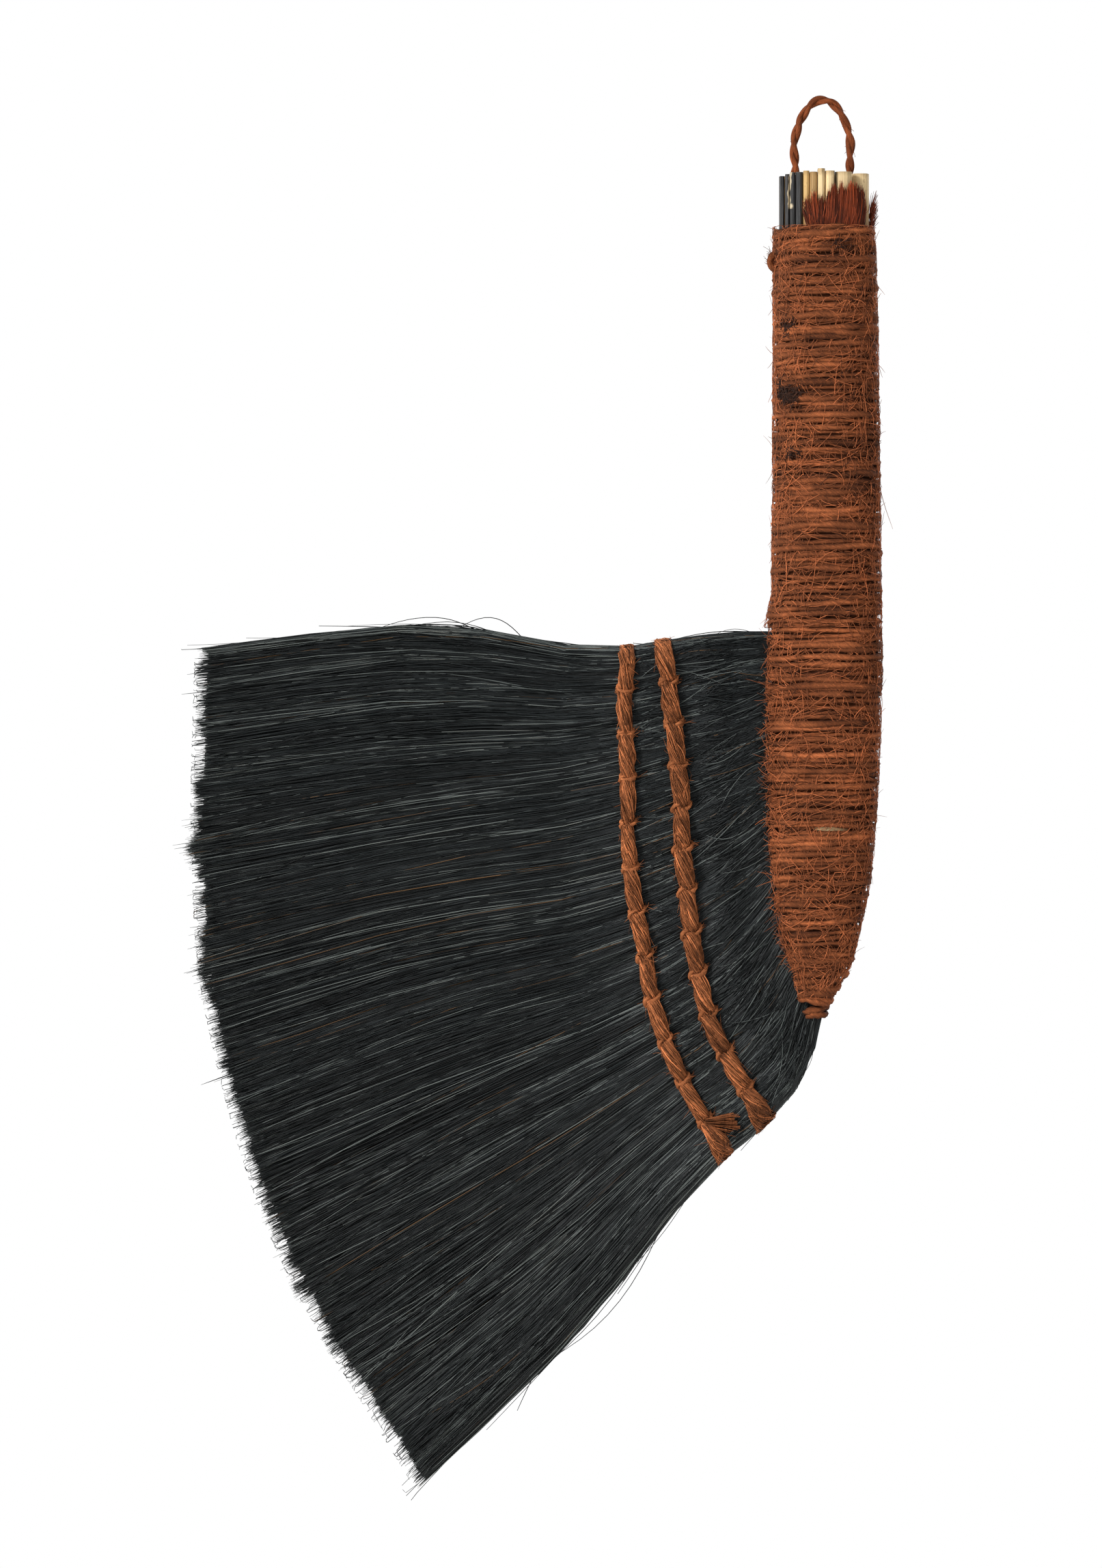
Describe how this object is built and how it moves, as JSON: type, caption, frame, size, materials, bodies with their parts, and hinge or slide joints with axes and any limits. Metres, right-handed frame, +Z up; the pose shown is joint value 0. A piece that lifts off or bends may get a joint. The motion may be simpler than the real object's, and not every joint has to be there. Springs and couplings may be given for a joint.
{
  "type": "hand broom",
  "caption": "Hand broom: a fan of dark bristle bundles sewn with cord rows, bent out of a twine-wound stalk handle with a hanging loop.",
  "frame": {"origin": "inside of the hanging loop's top, where a peg carries the broom", "axes": "+Z up the handle to the loop, +X away from the fan, -Y the front of the fan"},
  "size_m": [0.1854, 0.0255, 0.3785],
  "materials": {
    "dyed_cane": "dyed black, satin",
    "natural_cane": "peeled stalk, satin",
    "winding_twine": "hairy spun fibre",
    "row_cord": "two-ply laid fibre cord",
    "bristle": "fine dyed palm fibre, slight sheen"
  },
  "bodies": {
    "broom": {"dyed_stalk_1": "dyed_cane", "dyed_stalk_2": "dyed_cane", "dyed_stalk_3": "dyed_cane", "dyed_stalk_4": "dyed_cane", "natural_stalk_1": "natural_cane", "natural_stalk_2": "natural_cane", "natural_stalk_3": "natural_cane", "natural_stalk_4": "natural_cane", "natural_stalk_5": "natural_cane", "natural_stalk_6": "natural_cane", "core_stalks": "natural_cane", "back_stalks": "natural_cane", "loop_tails": "row_cord", "inner_row_cord": "row_cord", "outer_row_cord": "row_cord", "inner_row_stitches": "row_cord", "outer_row_stitches": "row_cord", "outer_row_knot": "row_cord", "grip_winding": "winding_twine", "heel_winding": "winding_twine", "last_turn": "winding_twine", "winding_knot": "winding_twine", "frayed_twine_end": "winding_twine", "heel_ties": "winding_twine", "bundle_root_1": "bristle", "bundle_root_2": "bristle", "bundle_root_3": "bristle", "bundle_root_4": "bristle", "bundle_root_5": "bristle", "bundle_root_6": "bristle", "bundle_root_7": "bristle", "bundle_root_8": "bristle", "bundle_root_9": "bristle", "bundle_root_10": "bristle", "bundle_root_11": "bristle", "bundle_root_12": "bristle"},
    "bristles": {"bundle_tips_1": "bristle", "bundle_tips_2": "bristle", "bundle_tips_3": "bristle", "bundle_tips_4": "bristle", "bundle_tips_5": "bristle", "bundle_tips_6": "bristle", "bundle_tips_7": "bristle", "bundle_tips_8": "bristle", "bundle_tips_9": "bristle", "bundle_tips_10": "bristle", "bundle_tips_11": "bristle", "bundle_tips_12": "bristle"},
    "loop": {"hanging_loop": "row_cord"}
  },
  "joints": [
    {"name": "bristle_flex", "type": "hinge", "parent": "broom", "child": "bristles", "pos_m": [-0.07418, 0, -0.1516], "axis": [0.1892, 0, -0.9819], "range_deg": [-25, 25], "stiffness_Nm_per_rad": 0.8},
    {"name": "loop_swing", "type": "hinge", "parent": "broom", "child": "loop", "pos_m": [0, 0, -0.0175], "axis": [1, 0, 0], "range_deg": [-75, 75], "stiffness_Nm_per_rad": 0.005}
  ]
}
